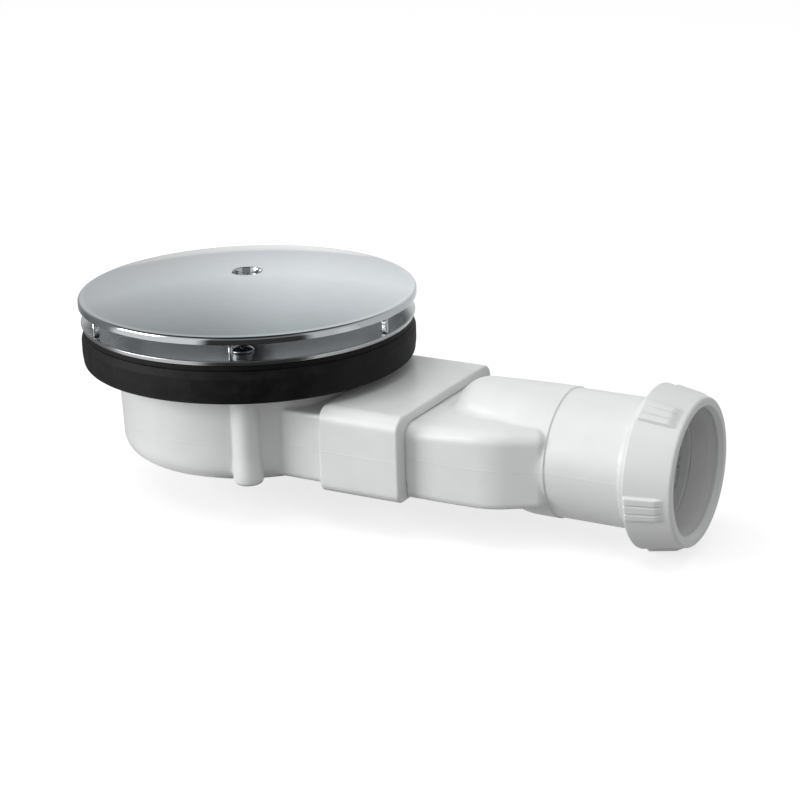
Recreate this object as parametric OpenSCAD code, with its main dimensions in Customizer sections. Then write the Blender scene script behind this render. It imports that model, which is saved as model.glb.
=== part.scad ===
// Shower floor drain with a domed cover, a water trap in a round pot and a flat side outlet
// that opens into a compression joint for a waste pipe.
// The drain axis is Z and the outlet runs along +X. Z = 0 is the underside of the flange lip.

/* [Cover] */
// Outside diameter of the cover's rim
cover_d = 115.4; // [108:0.2:122]
// Rise of the dome from its shoulder to its centre
dome_rise = 6.1; // [4:0.1:9]
// Wall of the cover
cover_wall = 2; // [1.4:0.1:2.6]
// Depth of the rim below the shoulder
cover_rim_h = 2.6; // [2.2:0.1:4]
// Rounding of the rim's outer edge
cover_edge_r = 1; // [0.5:0.1:1.2]
// Height of the legs, which is the inlet gap under the rim
leg_h = 5.6; // [5:0.1:9]
// Width of one leg
leg_w = 1.3; // [1:0.1:2.5]
// Depth of one leg along the radius
leg_depth = 2.2; // [1.6:0.1:3]
// Number of legs
leg_count = 6; // [3:1:8]
// Angle of the first leg
leg_start = -3.3; // [-30:0.1:30]
// Diameter of the dimple at the centre of the dome
dimple_d = 10.3; // [9:0.1:14]
// Depth of the dimple
dimple_depth = 2.6; // [2:0.1:3.2]

/* [Cover screw] */
// Diameter of the thread
cover_screw_d = 3.5; // [3:0.1:4]
// Length below the head
cover_screw_l = 14; // [9:0.5:20]
// Diameter of the head
cover_head_d = 5.4; // [5.2:0.1:7]
// Height of the head
cover_head_h = 1.5; // [1:0.1:1.8]

/* [Flange] */
// How far the cover's rim reaches past the flange lip
cover_overhang = 0.5; // [0:0.1:3]
// Thickness of the flange plate
flange_t = 1.6; // [1.2:0.1:2.4]
// How far the lip's lower edge stands in from its upper edge
lip_draft = 0.6; // [0:0.1:1]
// Distance from the throat's outside to the circle of screws
throat_to_screw = 6.6; // [5.6:0.1:9]
// Wall of the throat
throat_wall = 1.8; // [1.4:0.1:2.2]
// Depth of the throat below the flange's underside
throat_h = 12; // [10:0.5:14]
// Width of the ledge at the foot of the throat
ledge_w = 2.5; // [1.5:0.1:3.5]
// Thickness of the ledge
ledge_t = 1.6; // [1.2:0.1:2.4]

/* [Clamping screws] */
// Diameter of the thread
screw_d = 5; // [4:0.5:5]
// Length below the head
screw_l = 42; // [38:0.5:44]
// Diameter of the head
screw_head_d = 8.4; // [7:0.1:9]
// Height of the head
screw_head_h = 1.9; // [1.5:0.1:2.4]
// Diameter of the threaded insert at the foot of each boss
insert_d = 7.2; // [6.8:0.1:7.6]
// Length of the threaded insert
insert_l = 8; // [6:0.5:12]

/* [Seals under the flange] */
// Thickness of the thin washer under the lip
washer_t = 2; // [1:0.1:3]
// How far the thin washer stands in from the flange lip
washer_in = 0.9; // [0:0.1:2]
// Height of the thick gasket
gasket_h = 11.3; // [10:0.1:14]
// Thickness of the gasket above the pot's rim
gasket_top_t = 4.6; // [3:0.1:6]
// Thickness of the gasket outside the pot's rim
gasket_side_t = 3.7; // [2.4:0.1:5]
// Gap between the flange's throat and the seals round it
gasket_bore_gap = 1.7; // [0.5:0.1:2.2]

/* [Pot] */
// How far inside the pot's outer face the screws stand
screw_in = 1.1; // [0:0.1:2]
// How far the pot's wall leans in towards its foot
pot_draft = 2.1; // [0.5:0.1:4]
// How far the pot's foot lies below the duct
pot_foot_drop = 1.2; // [0.4:0.1:4]
// Wall of the pot and the duct
pot_wall = 2.4; // [2:0.1:3]
// Rounding at the foot of the pot
pot_foot_r = 3.2; // [2.6:0.1:4]
// Width of the rim that the gasket's lower lip grips
rim_grip = 3.5; // [2:0.1:5]
// Thickness of that rim
pot_rim_t = 3.5; // [2.5:0.1:4]
// Diameter of a screw boss at its middle
boss_d = 8.6; // [8.2:0.1:9.2]
// Diameter of a screw boss at its foot
boss_foot_d = 10; // [9.6:0.1:11]

/* [Trap] */
// Waterway between the cup and the pot's wall at its foot
cup_gap = 9; // [6:0.5:12]
// Height of the cup
cup_h = 22.5; // [18:0.5:24]
// Wall of the cup
cup_wall = 1.6; // [1.2:0.1:2.4]
// Waterway between the dip tube and the cup
dip_gap = 10.4; // [7:0.1:12]
// Wall of the dip tube
dip_wall = 1.8; // [1.4:0.1:2.4]
// Gap between the dip tube's lower end and the cup's floor
dip_foot_gap = 5.3; // [4:0.1:10]
// Height of the dip tube's collar in the throat
dip_collar_h = 6; // [5:0.5:8]
// Section of the seal round the collar
dip_seal_d = 1.8; // [1.4:0.1:2.2]
// Height of the strainer's rings and spokes
strainer_h = 7; // [4:0.5:9]
// Number of spokes in the strainer
spoke_count = 8; // [6:1:12]
// Thickness of a spoke
spoke_t = 1.6; // [1.2:0.1:2.2]

/* [Duct and collar] */
// Height of the duct
duct_h = 23.7; // [20:0.1:28]
// Gap between the duct and the bosses beside it
duct_boss_gap = 2; // [1:0.1:4]
// Gap between the gasket and the top of the collar
collar_below = 3.1; // [1:0.1:8]
// Length of the collar
collar_l = 29.2; // [24:0.2:36]
// How far the collar stands out from the duct on each side
collar_side = 1.1; // [0.6:0.1:3]
// How far the collar stands above the duct
collar_up = 2.9; // [1.4:0.1:4]
// How far the collar stands below the duct
collar_down = 2.5; // [1.4:0.1:4]
// Wall of the collar at its sides, round the socket
collar_side_wall = 5.2; // [3:0.1:6.5]
// Wall of the collar at its top, over the socket
collar_top_wall = 3.2; // [2.4:0.1:4.5]
// Corner rounding at the top of the collar
collar_top_r = 5; // [3:0.1:6]
// Corner rounding at the foot of the duct and the collar
collar_foot_r = 3.3; // [2:0.1:5]

/* [Outlet piece] */
// Wall of the outlet piece
outlet_wall = 2.4; // [2:0.1:2.8]
// Rounding along the body's edges
body_edge_r = 4.5; // [3:0.1:6]
// How far the body's underside stays above the collar's
body_foot_in = 0.6; // [0:0.1:1.5]
// How far the body's top climbs towards the tube
body_climb = 1.7; // [0:0.1:3]
// Length of the body's straight sides
body_straight_l = 25.3; // [20:0.1:30]
// Length of the body's tapered end
body_taper_l = 18.5; // [14:0.1:22]
// How far inside the neck's width the taper ends
body_end_in = 0.8; // [0:0.1:4]
// Distance from the collar's face to the back of the nose
nose_start = 5.3; // [2:0.1:10]
// Radius of the nose at its back
nose_r = 12; // [8:0.1:16]
// Distance from the collar's face to where the neck is fully round
neck_start = 27.3; // [22:0.1:34]
// Distance from the end of the taper to the neck's seam
seam_gap = 1.9; // [1:0.1:6]
// How far the neck stands out from the tube
neck_step = 0.4; // [0.2:0.1:1]
// Length of the tube from the neck's seam to the ring
tube_l = 25.6; // [20:0.2:40]
// Width of the ring behind the thread
ring_w = 2.5; // [1.5:0.1:4]
// How far the ring stands out from the tube
ring_h = 1; // [0.6:0.1:1.3]
// Length of the threaded mouth
thread_l = 9.2; // [8:0.1:14]
// Wall of the threaded mouth round the pipe's socket
thread_wall = 2.4; // [2.2:0.1:3.2]

/* [Compression joint] */
// Outer diameter of the waste pipe that the joint takes
pipe_d = 40; // [32:1:50]
// Wall of the nut at its back edge
nut_wall = 3.9; // [3:0.1:5]
// How far the nut narrows from its back edge to its front
nut_taper = 2.8; // [1:0.1:3.2]
// Thickness of the nut's front wall
nut_front_t = 2.8; // [2:0.1:3.6]
// Number of grip lugs round the nut
lug_count = 5; // [4:1:6]
// Angle that one lug covers
lug_angle = 19; // [14:0.5:24]
// How far a lug stands out
lug_h = 1; // [0.6:0.1:1.4]
// Angle of the first lug
lug_start = 47.5; // [0:0.5:71.5]
// Thickness of the slip washer
slip_t = 1.6; // [1:0.1:2.4]
// How far the socket's wall stands out from the tube's outside
socket_step = 0.8; // [0.2:0.1:2]
// Length of the cone seal that enters the tube
cone_l = 4.5; // [3:0.1:5.5]
// Thickness of the cone seal's head
cone_head_t = 2; // [1.4:0.1:2.6]

/* [Clearances] */
// Gap round a part that slides into another
slide_gap = 0.3; // [0.2:0.05:0.4]
// Gap round a seal or a screw thread in its seat
seat_gap = 0.05; // [0.03:0.01:0.08]
// Gap round a screw in a hole that it passes through
screw_gap = 0.3; // [0.2:0.05:0.5]

/* [Hidden] */
$fn = 96;
eps = 0.01;

// Levels of the cover
cover_foot_z = flange_t + leg_h;
shoulder_z = cover_foot_z + cover_rim_h;
apex_z = shoulder_z + dome_rise;
cover_r = cover_d / 2;
flange_r = cover_r - cover_overhang;
shoulder_r = cover_r - cover_edge_r;
dome_r = (pow(shoulder_r, 2) + pow(dome_rise, 2)) / (2 * dome_rise);
dome_fn = 720;
leg_r = cover_r - cover_wall - 0.4;
dimple_floor_z = apex_z - dimple_depth;
dimple_floor_d = dimple_d - 1.2;
hub_r = dimple_d / 2 + cover_wall;
hub_z = dimple_floor_z - cover_wall;

// Radii from the flange lip inwards: gasket, rim, bosses, screws and throat
boss_r = boss_d / 2;
boss_foot_r = boss_foot_d / 2;
pot_rim_r = flange_r - gasket_side_t;
gasket_grip_r = pot_rim_r - rim_grip;
screw_circle_r = gasket_grip_r - boss_r - slide_gap;
throat_outer_r = screw_circle_r - throat_to_screw;
throat_r = throat_outer_r - throat_wall;
gasket_bore_r = throat_outer_r + gasket_bore_gap;
ledge_r = throat_r - ledge_w;
ledge_z = -throat_h + ledge_t;
screw_hole_r = screw_d / 2 + screw_gap;
// Three screws, one of them opposite the duct
screw_count = 3;
first_screw = 60;
gasket_top_z = -washer_t;
pot_rim_z = gasket_top_z - gasket_top_t;
gasket_foot_z = gasket_top_z - gasket_h;
gasket_foot_in = 0.5;
gasket_foot_h = 4.4;
gasket_round = 1.8;
gasket_shoulder_in = 0.9;
gasket_shoulder_h = 2.5;

// Duct and collar, on the outlet's axis, and the pot's depth
duct_half_h = duct_h / 2;
collar_top = duct_half_h + collar_up;
collar_foot = duct_half_h + collar_down;
axis_z = gasket_foot_z - collar_below - collar_top;
pot_depth = duct_half_h + pot_foot_drop - axis_z;

// Pot
pot_r = screw_circle_r + screw_in;
pot_foot_rad = pot_r - pot_draft;
pot_floor_z = -pot_depth + pot_wall;
boss_flare_h = 9;
boss_round = 1.5;
insert_r = insert_d / 2;
insert_in = 0.5;

// Trap
cup_r = pot_foot_rad - pot_wall - cup_gap;
dip_r = cup_r - cup_wall - dip_gap;
dip_foot_z = pot_floor_z + cup_wall + dip_foot_gap;
dip_in_r = dip_r - dip_wall;
collar_r = throat_r - slide_gap;
groove_r = throat_r - dip_seal_d - 2 * seat_gap;
groove_h = dip_seal_d + 2 * seat_gap;
groove_z = ledge_z + (dip_collar_h - groove_h) / 2;
funnel_z = ledge_z - 6;
funnel_wall = dip_wall * 1.1;
strainer_r = dip_in_r - slide_gap;
strainer_foot_z = funnel_z - strainer_h + 1.5;
strainer_boss_r = 4.5;
strainer_ring_w = 2;

// Widths and lengths from the pot to the outlet's spigot
duct_half_w = screw_circle_r * sin(first_screw) - boss_foot_r - duct_boss_gap;
collar_half_w = duct_half_w + collar_side;
collar_x = pot_r;
collar_face_x = collar_x + collar_l;
stop_l = 3.5;
socket_x = collar_x + stop_l;
spigot_half_w = collar_half_w - collar_side_wall - slide_gap;
spigot_half_h = collar_top - collar_top_wall - slide_gap;
spigot_x = socket_x + slide_gap;
socket_r = body_edge_r + slide_gap;
seal_groove_x = socket_x + 8;
seal_groove_w = 4;
seal_groove_t = 1.4;

// Body: three sections from the collar's face to the tube
body_foot = collar_foot - body_foot_in;
body_top = spigot_half_h + body_climb;
body_taper_x = collar_face_x + body_straight_l;
body_end_x = body_taper_x + body_taper_l;
section_t = 0.8;
section_fn = 32;

// Tube and thread round the pipe, and the nose that carries the tube out of the flat body
pipe_socket_r = pipe_d / 2 + slide_gap;
thread_r = pipe_socket_r + thread_wall;
tube_r = pipe_socket_r + socket_step;
ring_r = tube_r + ring_h;
waterway_r = tube_r - outlet_wall;
neck_r = tube_r + neck_step;
nose_x = collar_face_x + nose_start + nose_r;
nose_rise = neck_r - nose_r;
neck_x = collar_face_x + neck_start;
body_end_half_w = neck_r - body_end_in;
seam_x = body_end_x + seam_gap;
ring_x = seam_x + tube_l;
thread_x = ring_x + ring_w;
mouth_x = thread_x + thread_l;
pipe_stop_x = thread_x - 1.5;
nut_x = thread_x + 0.5;
cone_head_x = mouth_x + 2 * seat_gap;
slip_x = cone_head_x + cone_head_t;
nut_wall_x = slip_x + slip_t;
nut_l = nut_wall_x + nut_front_t - nut_x;
cone_big_r = pipe_socket_r + 1.3;
cone_small_r = pipe_socket_r + 0.4;
nut_bore_r = thread_r + seat_gap;
nut_back_r = nut_bore_r + nut_wall;
nut_front_r = nut_back_r - nut_taper;
nut_edge = 1.1;
nut_bevel = 1;
nut_bevel_l = 1.6;

// Builds a shape along +X on the outlet's axis: its X becomes Y, its Y becomes Z
module on_outlet(x = 0) {
    translate([x, 0, axis_z]) rotate([90, 0, 90]) children();
}

// One copy at each clamping screw
module at_screws() {
    for (i = [0 : screw_count - 1])
        rotate([0, 0, first_screw + i * 360 / screw_count])
            translate([screw_circle_r, 0, 0]) children();
}

// Outline of a flat duct, with its own rounding at the top and at the foot
module duct_outline(half_w, foot, top, foot_r, top_r) {
    translate([-half_w, -foot + foot_r]) square([2 * half_w, top + foot - top_r - foot_r]);
    translate([-half_w + foot_r, -foot]) square([2 * (half_w - foot_r), foot + eps]);
    translate([-half_w + top_r, 0]) square([2 * (half_w - top_r), top]);
    for (side = [-1, 1]) {
        translate([side * (half_w - foot_r), -foot + foot_r]) circle(r = foot_r);
        translate([side * (half_w - top_r), top - top_r]) circle(r = top_r);
    }
}

// Plain ring round the drain axis
module ring(outer, inner, low, high) {
    translate([0, 0, low]) difference() {
        cylinder(r = outer, h = high - low);
        translate([0, 0, -eps]) cylinder(r = inner, h = high - low + 2 * eps);
    }
}

// Half section of the domed shell
module cover_section() {
    difference() {
        union() {
            intersection() {
                translate([0, apex_z - dome_r]) circle(r = dome_r, $fn = dome_fn);
                translate([0, cover_foot_z]) square([shoulder_r, apex_z]);
            }
            translate([shoulder_r - eps, cover_foot_z])
                square([cover_edge_r + eps, cover_rim_h - cover_edge_r]);
            translate([shoulder_r, shoulder_z - cover_edge_r]) circle(r = cover_edge_r);
        }
        intersection() {
            translate([0, apex_z - dome_r]) circle(r = dome_r - cover_wall, $fn = dome_fn);
            translate([-eps, 0]) square([cover_r - cover_wall, apex_z]);
        }
    }
}

module cover() {
    color([0.83, 0.84, 0.86]) difference() {
        union() {
            rotate_extrude($fn = 180) cover_section();
            translate([0, 0, hub_z]) cylinder(r = hub_r, h = apex_z - 0.5 - hub_z);
            for (i = [0 : leg_count - 1])
                rotate([0, 0, leg_start + i * 360 / leg_count])
                    translate([leg_r - leg_depth / 2, -leg_w / 2, flange_t])
                        cube([leg_depth, leg_w, leg_h + cover_rim_h - cover_wall + 0.8]);
        }
        translate([0, 0, dimple_floor_z])
            cylinder(d1 = dimple_floor_d, d2 = dimple_d, h = dimple_depth + eps);
        translate([0, 0, hub_z - eps])
            cylinder(r = cover_screw_d / 2 + screw_gap, h = cover_wall + 3 * eps);
    }
}

module cover_screw() {
    color([0.75, 0.76, 0.78]) difference() {
        union() {
            translate([0, 0, dimple_floor_z]) rotate_extrude() intersection() {
                square([cover_head_d / 2, cover_head_h]);
                translate([0, cover_head_h - cover_head_d]) circle(r = cover_head_d);
            }
            translate([0, 0, dimple_floor_z - cover_screw_l])
                cylinder(d = cover_screw_d, h = cover_screw_l + eps);
        }
        for (turn = [0, 90])
            rotate([0, 0, turn + 20])
                translate([-cover_head_d * 0.32, -0.35, dimple_floor_z + cover_head_h - 0.8])
                    cube([cover_head_d * 0.64, 0.7, 1]);
    }
}

// Grid that hangs under the cover, catches hair and centres the cover in the dip tube
module strainer() {
    boss_bore_z = dimple_floor_z - cover_screw_l - 1;
    mid_r = (strainer_boss_r + strainer_r - strainer_ring_w) / 2;
    color([0.9, 0.9, 0.9]) difference() {
        union() {
            translate([0, 0, strainer_foot_z])
                cylinder(r = strainer_boss_r, h = hub_z - strainer_foot_z);
            ring(strainer_r, strainer_r - strainer_ring_w, strainer_foot_z,
                 strainer_foot_z + strainer_h);
            ring(mid_r + spoke_t, mid_r, strainer_foot_z, strainer_foot_z + strainer_h / 2);
            for (i = [0 : spoke_count - 1])
                rotate([0, 0, i * 360 / spoke_count])
                    translate([0, -spoke_t / 2, strainer_foot_z])
                        cube([strainer_r - strainer_ring_w / 2, spoke_t, strainer_h / 2]);
        }
        translate([0, 0, boss_bore_z])
            cylinder(r = cover_screw_d / 2 + seat_gap, h = hub_z - boss_bore_z + eps);
    }
}

module flange() {
    color([0.62, 0.63, 0.65]) difference() {
        rotate_extrude($fn = 180) polygon([
            [throat_r, flange_t - 0.6], [throat_r + 0.6, flange_t], [flange_r - 0.3, flange_t],
            [flange_r, flange_t - 0.3], [flange_r - lip_draft, 0], [throat_outer_r, 0],
            [throat_outer_r, -throat_h], [ledge_r, -throat_h], [ledge_r, ledge_z],
            [throat_r, ledge_z]
        ]);
        at_screws() translate([0, 0, -eps]) cylinder(r = screw_hole_r, h = flange_t + 2 * eps);
    }
}

module flange_screws() {
    drive_d = screw_head_d * 0.62;
    color([0.7, 0.71, 0.73]) at_screws() difference() {
        union() {
            translate([0, 0, flange_t]) rotate_extrude() intersection() {
                square([screw_head_d / 2, screw_head_h]);
                translate([0, screw_head_h - screw_head_d]) circle(r = screw_head_d);
            }
            translate([0, 0, flange_t - screw_l]) cylinder(d = screw_d, h = screw_l + eps);
        }
        for (turn = [0, 90])
            rotate([0, 0, turn])
                translate([-drive_d / 2, -0.6, flange_t + screw_head_h - 1.1])
                    cube([drive_d, 1.2, 2]);
    }
}

module lip_washer() {
    color([0.12, 0.12, 0.12]) difference() {
        ring(flange_r - washer_in, gasket_bore_r, -washer_t, 0);
        at_screws() translate([0, 0, -washer_t - eps])
            cylinder(r = screw_hole_r, h = washer_t + 2 * eps);
    }
}

// What is cut off a square corner, at the right and the foot of a section, to round it
module corner_cut(x, y, rounding) {
    difference() {
        translate([x - rounding, y - 1]) square(rounding + 1);
        translate([x - rounding, y + rounding]) circle(r = rounding, $fn = 48);
    }
}

// The thick rubber ring wraps round the pot's rim
module tray_gasket() {
    outer = flange_r;
    foot_r = outer - gasket_foot_in;
    color([0.07, 0.07, 0.07]) difference() {
        rotate_extrude($fn = 180) difference() {
            polygon([
                [gasket_bore_r, gasket_top_z], [outer - gasket_shoulder_in, gasket_top_z],
                [outer, gasket_top_z - gasket_shoulder_h], [outer, gasket_foot_z + gasket_foot_h],
                [foot_r, gasket_foot_z + gasket_round], [foot_r, gasket_foot_z],
                [gasket_bore_r, gasket_foot_z]
            ]);
            corner_cut(foot_r, gasket_foot_z, gasket_round);
            translate([0, gasket_foot_z - 1])
                square([gasket_grip_r, pot_rim_z - gasket_foot_z + 1]);
            translate([0, pot_rim_z - pot_rim_t])
                square([pot_rim_r + seat_gap, pot_rim_t]);
        }
        at_screws() translate([0, 0, pot_rim_z - 1])
            cylinder(r = screw_hole_r, h = gasket_top_t + 2);
    }
}

// Half outline of the pot: the wall leans in to a rounded foot
module pot_outline(wall, rounding) {
    foot = pot_foot_rad - wall;
    low = -pot_depth + wall;
    polygon([
        [0, low], [foot - rounding, low], [foot - rounding / 2, low + eps],
        [foot, low + rounding], [pot_r - wall, gasket_foot_z], [pot_r - wall, pot_rim_z],
        [0, pot_rim_z]
    ]);
    intersection() {
        translate([foot - rounding, low + rounding]) circle(r = rounding, $fn = 64);
        translate([foot - rounding, low]) square([rounding, rounding]);
    }
}

module boss() {
    foot_z = -pot_depth;
    rotate_extrude($fn = 64) {
        polygon([
            [0, pot_rim_z - eps], [boss_r - 0.1, pot_rim_z - eps],
            [boss_r, foot_z + boss_flare_h], [boss_foot_r, foot_z + boss_flare_h / 3],
            [boss_foot_r, foot_z + boss_round], [boss_foot_r - boss_round, foot_z], [0, foot_z]
        ]);
        translate([boss_foot_r - boss_round, foot_z + boss_round]) circle(r = boss_round, $fn = 48);
    }
}

// One moulding: the pot, its rim and screw bosses, the flat duct and the collar
module pot() {
    duct_start_x = pot_foot_rad * 0.6;
    inner_half_w = duct_half_w - pot_wall;
    inner_half_h = duct_half_h - pot_wall;
    bore_half_w = spigot_half_w - outlet_wall;
    bore_half_h = spigot_half_h - outlet_wall;
    color([0.93, 0.93, 0.93]) difference() {
        union() {
            difference() {
                union() {
                    rotate_extrude($fn = 144) pot_outline(0, pot_foot_r);
                    ring(pot_rim_r, pot_r - pot_wall, pot_rim_z - pot_rim_t, pot_rim_z);
                    on_outlet(duct_start_x) linear_extrude(collar_x - duct_start_x + 1)
                        duct_outline(duct_half_w, duct_half_h, duct_half_h, collar_foot_r,
                                     collar_top_r - pot_wall);
                    on_outlet(collar_x) linear_extrude(collar_l)
                        duct_outline(collar_half_w, collar_foot, collar_top, collar_foot_r,
                                     collar_top_r);
                }
                rotate_extrude($fn = 144) pot_outline(pot_wall, pot_foot_r - pot_wall / 2);
                translate([0, 0, pot_rim_z - 1]) cylinder(r = pot_r - pot_wall, h = 2);
                on_outlet(duct_start_x) linear_extrude(collar_x - duct_start_x)
                    duct_outline(inner_half_w, inner_half_h, inner_half_h, 2, 2);
                on_outlet(collar_x - 1) linear_extrude(stop_l + 2)
                    duct_outline(bore_half_w, bore_half_h, bore_half_h, 2, 2);
                on_outlet(socket_x) linear_extrude(collar_face_x - socket_x + 1)
                    duct_outline(spigot_half_w + slide_gap, spigot_half_h + slide_gap,
                                 spigot_half_h + slide_gap, socket_r, socket_r);
                on_outlet(seal_groove_x) linear_extrude(seal_groove_w)
                    duct_outline(spigot_half_w + slide_gap + seal_groove_t,
                                 spigot_half_h + slide_gap + seal_groove_t,
                                 spigot_half_h + slide_gap + seal_groove_t,
                                 socket_r + seal_groove_t, socket_r + seal_groove_t);
            }
            at_screws() boss();
        }
        at_screws() {
            translate([0, 0, -pot_depth - 1]) cylinder(r = screw_hole_r, h = pot_depth + 1);
            translate([0, 0, -pot_depth - 1])
                cylinder(r = insert_r, h = insert_l + insert_in + 1);
        }
    }
}

// Brass nuts pressed up into the feet of the bosses
module screw_inserts() {
    color([0.8, 0.65, 0.35]) at_screws() translate([0, 0, -pot_depth + insert_in])
        difference() {
            cylinder(r = insert_r - seat_gap / 2, h = insert_l);
            translate([0, 0, -eps]) cylinder(r = screw_d / 2 + seat_gap, h = insert_l + 2 * eps);
        }
}

module dip_tube() {
    top_z = ledge_z + dip_collar_h;
    lip = 2;
    color([0.88, 0.88, 0.88]) rotate_extrude($fn = 144) difference() {
        polygon([
            [collar_r, top_z], [collar_r, ledge_z], [ledge_r - slide_gap, ledge_z],
            [dip_r, funnel_z], [dip_r, dip_foot_z], [dip_in_r, dip_foot_z],
            [dip_in_r, funnel_z + funnel_wall], [ledge_r - lip, ledge_z + funnel_wall],
            [groove_r - lip, top_z]
        ]);
        translate([groove_r, groove_z]) square([collar_r, groove_h]);
    }
}

module dip_tube_seal() {
    color([0.1, 0.1, 0.1]) rotate_extrude($fn = 144)
        translate([groove_r + seat_gap + dip_seal_d / 2, groove_z + groove_h / 2])
            circle(d = dip_seal_d, $fn = 32);
}

module trap_cup() {
    color([0.86, 0.86, 0.86]) translate([0, 0, pot_floor_z]) difference() {
        cylinder(r = cup_r, h = cup_h);
        translate([0, 0, cup_wall]) cylinder(r = cup_r - cup_wall, h = cup_h);
    }
}

// One thin slice of the flat body, for the hull that joins three of them
module body_slice(x, half_w, foot, top, rounding) {
    on_outlet(x) linear_extrude(section_t)
        duct_outline(half_w, foot, top, rounding, rounding, $fn = section_fn);
}

module body_block(wall) {
    rounding = body_edge_r - wall / 2;
    hull() {
        body_slice(collar_face_x, spigot_half_w - wall, body_foot - wall,
                   spigot_half_h - wall, rounding);
        body_slice(body_taper_x - section_t, spigot_half_w - wall, body_foot - wall,
                   body_top - wall, rounding);
        body_slice(body_end_x - section_t - wall, body_end_half_w - wall, body_foot - wall,
                   body_top - wall, rounding);
    }
}

module nose(wall) {
    hull() {
        translate([nose_x, 0, axis_z + nose_rise]) sphere(r = nose_r - wall, $fn = 48);
        on_outlet(neck_x) cylinder(r = neck_r - wall, h = 1, $fn = 72);
    }
}

// One moulding: the spigot, the flat body, the nose, the tube and its threaded mouth
module outlet_body() {
    bore_half_w = spigot_half_w - outlet_wall;
    bore_half_h = spigot_half_h - outlet_wall;
    color([0.93, 0.93, 0.93]) difference() {
        union() {
            on_outlet(spigot_x) linear_extrude(collar_face_x - spigot_x + 1)
                duct_outline(spigot_half_w, spigot_half_h, spigot_half_h, body_edge_r,
                             body_edge_r);
            body_block(0);
            nose(0);
            on_outlet(neck_x) cylinder(r = neck_r, h = seam_x - neck_x);
            on_outlet(seam_x - 1) cylinder(r = tube_r, h = tube_l + 2);
            on_outlet(ring_x) cylinder(r = ring_r, h = ring_w);
            on_outlet(thread_x - 0.5) cylinder(r = tube_r, h = thread_l + 0.5);
            on_outlet(nut_x + 0.4) cylinder(r = thread_r, h = mouth_x - nut_x - 0.4);
        }
        on_outlet(spigot_x - 1) linear_extrude(collar_face_x - spigot_x + 4)
            duct_outline(bore_half_w, bore_half_h, bore_half_h, 2, 2);
        body_block(outlet_wall);
        nose(outlet_wall);
        on_outlet(neck_x) cylinder(r = waterway_r, h = mouth_x - neck_x + 1);
        on_outlet(pipe_stop_x) cylinder(r = pipe_socket_r, h = mouth_x - pipe_stop_x + 1);
        on_outlet(mouth_x - cone_l - seat_gap)
            cylinder(r1 = cone_small_r + seat_gap, r2 = cone_big_r + seat_gap,
                     h = cone_l + seat_gap + eps);
    }
}

// Rubber ring in the collar's groove
module spigot_seal() {
    reach = slide_gap + seal_groove_t - seat_gap;
    color([0.1, 0.1, 0.1]) on_outlet(seal_groove_x + seat_gap)
        linear_extrude(seal_groove_w - 2 * seat_gap) difference() {
            duct_outline(spigot_half_w + reach, spigot_half_h + reach, spigot_half_h + reach,
                         body_edge_r + reach, body_edge_r + reach);
            duct_outline(spigot_half_w + seat_gap, spigot_half_h + seat_gap,
                         spigot_half_h + seat_gap, body_edge_r + seat_gap,
                         body_edge_r + seat_gap);
        }
}

// One grip ridge of a lug, turned to its angle round the nut
module grip_ridge(start, sweep) {
    front = nut_l - 2 * nut_edge;
    rotate([0, 0, start]) rotate_extrude(angle = sweep) polygon([
        [nut_bore_r + 1, 0.6], [nut_back_r + lug_h - 0.4, 0.6], [nut_back_r + lug_h, 1.2],
        [nut_front_r + lug_h, front - 0.6], [nut_front_r + lug_h - 0.5, front],
        [nut_bore_r + 1, front]
    ]);
}

// Hand nut: tapered body, raised lugs of three ridges and a bevelled opening
module nut() {
    ridge_sweep = lug_angle / 3 - 1;
    color([0.93, 0.93, 0.93]) on_outlet(nut_x) difference() {
        union() {
            rotate_extrude($fn = 144) polygon([
                [0, 0], [nut_back_r - 0.5, 0], [nut_back_r, 0.4],
                [nut_front_r, nut_l - nut_edge], [nut_front_r - 0.35, nut_l - 0.35],
                [nut_front_r - nut_edge, nut_l], [0, nut_l]
            ]);
            for (i = [0 : lug_count - 1])
                for (k = [0 : 2])
                    grip_ridge(lug_start + i * 360 / lug_count - lug_angle / 2
                               + k * lug_angle / 3 + 0.5, ridge_sweep);
        }
        translate([0, 0, -1]) cylinder(r = nut_bore_r, h = nut_l - nut_front_t + 1);
        cylinder(r = pipe_socket_r, h = nut_l + 1);
        translate([0, 0, nut_l - nut_bevel_l])
            cylinder(r1 = pipe_socket_r, r2 = pipe_socket_r + nut_bevel, h = nut_bevel_l + eps);
    }
}

module slip_washer() {
    color([0.85, 0.85, 0.85]) on_outlet(slip_x) difference() {
        cylinder(r = nut_bore_r - slide_gap, h = slip_t);
        translate([0, 0, -eps]) cylinder(r = pipe_socket_r, h = slip_t + 2 * eps);
    }
}

module cone_seal() {
    color([0.85, 0.85, 0.85]) on_outlet(cone_head_x - cone_l) rotate_extrude() polygon([
        [pipe_socket_r, 0], [cone_small_r, 0], [cone_big_r, cone_l],
        [nut_bore_r - slide_gap, cone_l], [nut_bore_r - slide_gap, cone_l + cone_head_t],
        [pipe_socket_r, cone_l + cone_head_t]
    ]);
}

cover();
cover_screw();
strainer();
flange();
flange_screws();
lip_washer();
tray_gasket();
pot();
screw_inserts();
dip_tube();
dip_tube_seal();
trap_cup();
outlet_body();
spigot_seal();
nut();
slip_washer();
cone_seal();
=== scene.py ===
# %% [markdown]
# # A shower floor drain
#
# The drain hangs under a shower tray. Water runs in through the gap below the chrome cover,
# falls through a trap cup in the white pot, and leaves by the flat side outlet, whose hand nut
# clamps a 40 mm waste pipe. The measured solids come in first and are never moved. Every piece
# made here stands where one of them stands, in metres, with the drain's axis as Z.

# %% Load the solids
import math

import bpy
import numpy as np
from mathutils import Matrix, Vector


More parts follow.
